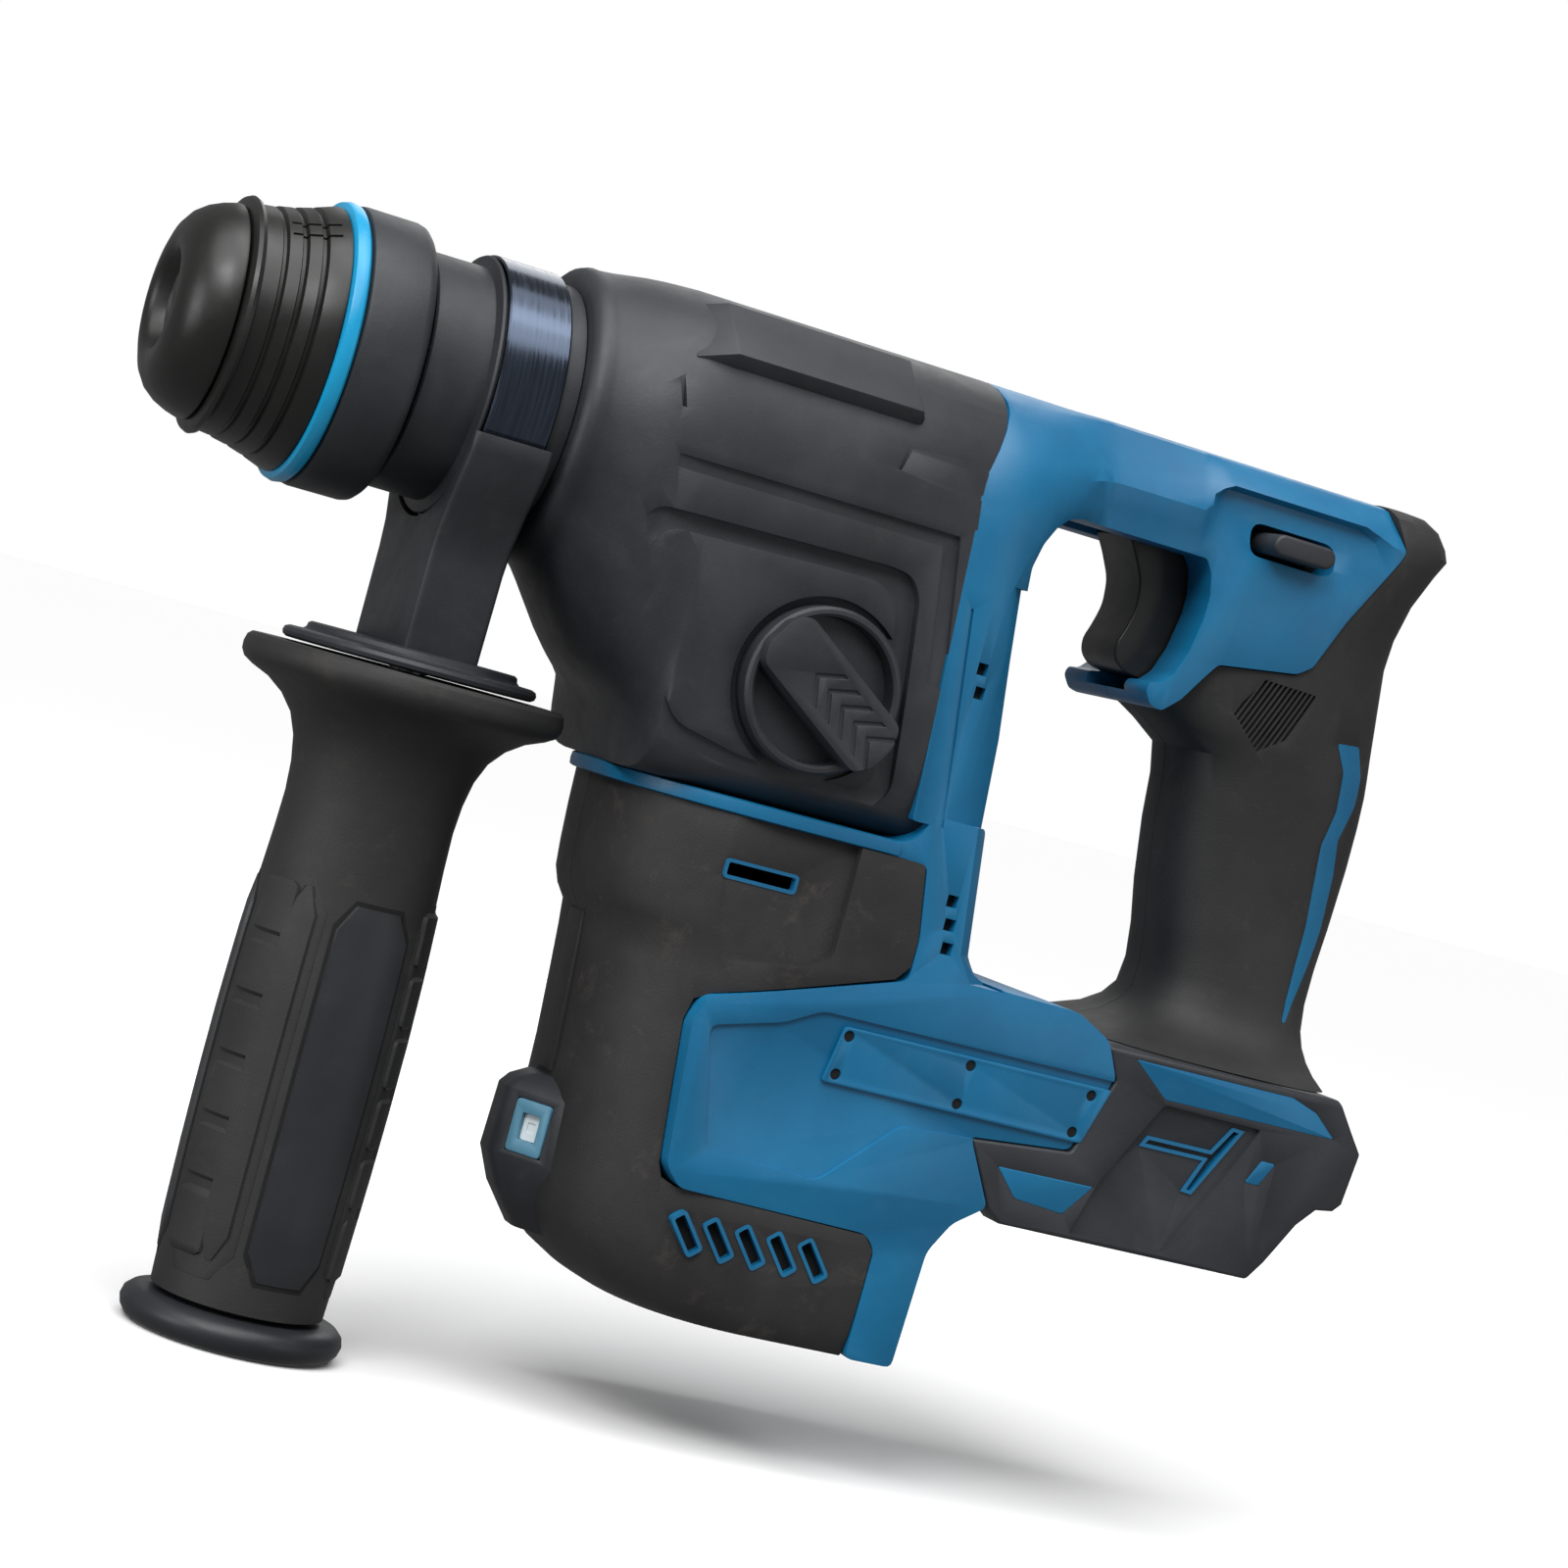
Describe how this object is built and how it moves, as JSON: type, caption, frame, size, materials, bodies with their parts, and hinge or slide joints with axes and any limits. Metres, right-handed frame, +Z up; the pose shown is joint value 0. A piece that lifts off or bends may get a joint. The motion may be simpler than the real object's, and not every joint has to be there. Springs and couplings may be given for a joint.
{
  "type": "cordless rotary hammer",
  "caption": "bare L-shaped cordless rotary hammer with sliding bit chuck, D handle, mode knob, battery rails and swinging side handle",
  "frame": {"origin": "where the bit's shank end meets the impact bolt, on the drilling axis", "axes": "+Z up, the bit points to -X, the tool's left side faces -Y"},
  "size_m": [0.3014, 0.084, 0.2372],
  "materials": {
    "black_plastic": "moulded black glass-filled nylon, satin",
    "black_rubber": "moulded thermoplastic rubber, matte",
    "blue_plastic": "moulded blue nylon, satin",
    "cyan_ring": "moulded bright blue plastic",
    "machined_steel": "turned and ground steel",
    "blued_band": "polished blue-black steel strap",
    "motor_winding": "laminations and enamelled copper",
    "circuit_board": "solder-masked glass-epoxy board",
    "contact_brass": "stamped brass blade",
    "lamp_lens": "clear moulded lens"
  },
  "bodies": {
    "body": {"gear_housing": "black_plastic", "housing_rim": "blue_plastic", "handle_shell_left": "blue_plastic", "handle_shell_right": "blue_plastic", "motor_cover_left": "black_plastic", "motor_cover_right": "black_plastic", "grip_cover_left": "black_rubber", "grip_cover_right": "black_rubber", "foot_cover_left": "black_plastic", "foot_cover_right": "black_plastic", "led_pod": "black_plastic", "led_lens_left": "lamp_lens", "led_lens_right": "lamp_lens", "name_plate": "blue_plastic", "barrel_tube": "black_plastic", "front_bearing": "machined_steel", "motor_stator": "motor_winding", "upper_bearing": "machined_steel", "lower_bearing": "machined_steel", "control_board": "circuit_board", "switch_box": "black_plastic", "battery_rail_left": "machined_steel", "battery_rail_right": "machined_steel", "terminal_left": "contact_brass", "terminal_right": "contact_brass", "terminal_block": "black_plastic", "screw_1": "machined_steel", "screw_2": "machined_steel", "screw_3": "machined_steel", "screw_4": "machined_steel", "screw_5": "machined_steel", "screw_6": "machined_steel"},
    "tool_holder": {"spindle": "machined_steel", "ring_gear": "machined_steel", "impact_bolt": "machined_steel", "dust_cap": "black_rubber"},
    "sleeve": {"chuck_cover": "black_rubber", "accent_ring": "cyan_ring", "sleeve_collar": "black_plastic"},
    "striker": {"striker": "machined_steel"},
    "piston": {"piston": "machined_steel"},
    "rod": {"connecting_rod": "machined_steel"},
    "crank": {"crank_shaft": "machined_steel"},
    "bevel": {"bevel_shaft": "machined_steel"},
    "rotor": {"motor_rotor": "machined_steel", "motor_fan": "black_plastic"},
    "knob": {"mode_knob": "black_plastic"},
    "trigger": {"trigger": "black_plastic"},
    "reverse": {"reverse_lever": "black_plastic"},
    "clamp": {"clamp_band": "blued_band", "clamp_base": "black_plastic", "side_plate": "black_plastic"},
    "side_handle": {"side_grip": "black_rubber", "side_grip_cap": "black_rubber", "side_bolt": "machined_steel"}
  },
  "joints": [
    {"name": "spindle_spin", "type": "hinge", "parent": "body", "child": "tool_holder", "pos_m": [0, 0, 0], "axis": [1, 0, 0], "continuous": true},
    {"name": "sleeve_pull", "type": "slide", "parent": "tool_holder", "child": "sleeve", "axis": [1, 0, 0], "range_m": [0, 0.009], "stiffness_N_per_m": 900, "springref_m": -0.006},
    {"name": "striker_slide", "type": "slide", "parent": "tool_holder", "child": "striker", "axis": [1, 0, 0], "range_m": [-0.0025, 0.002]},
    {"name": "piston_slide", "type": "slide", "parent": "body", "child": "piston", "axis": [1, 0, 0], "range_m": [-0.007, 0.007]},
    {"name": "rod_swing", "type": "hinge", "parent": "piston", "child": "rod", "pos_m": [0.0515, 0, 0], "axis": [0, 0, 1], "range_deg": [-12, 12]},
    {"name": "crank_spin", "type": "hinge", "parent": "body", "child": "crank", "pos_m": [0.076, 0, 0], "axis": [0, 0, 1], "continuous": true},
    {"name": "bevel_spin", "type": "hinge", "parent": "body", "child": "bevel", "pos_m": [0.0504, 0, 0], "axis": [0, 0, 1], "continuous": true},
    {"name": "motor_spin", "type": "hinge", "parent": "body", "child": "rotor", "pos_m": [0.097, 0, 0], "axis": [0, 0, 1], "continuous": true},
    {"name": "mode_turn", "type": "hinge", "parent": "body", "child": "knob", "pos_m": [0.0835, -0.0373, -0.041], "axis": [0, -1, 0], "range_deg": [0, 135]},
    {"name": "trigger_pull", "type": "slide", "parent": "body", "child": "trigger", "axis": [1, 0, 0], "range_m": [0, 0.007], "stiffness_N_per_m": 800, "springref_m": -0.003},
    {"name": "reverse_slide", "type": "slide", "parent": "body", "child": "reverse", "axis": [0, 1, 0], "range_m": [-0.003, 0.003]},
    {"name": "side_handle_swing", "type": "hinge", "parent": "body", "child": "clamp", "pos_m": [0.0086, 0, 0], "axis": [1, 0, 0], "range_deg": [-180, 180]},
    {"name": "grip_twist", "type": "hinge", "parent": "clamp", "child": "side_handle", "pos_m": [0.0086, 0, -0.06], "axis": [0, 0, 1], "range_deg": [0, 360]}
  ],
  "couplings": [
    {"joint": "bevel_spin", "follows": "spindle_spin", "ratio": -3.6667},
    {"joint": "crank_spin", "follows": "spindle_spin", "ratio": 1.7255},
    {"joint": "motor_spin", "follows": "spindle_spin", "ratio": -7.3333}
  ]
}
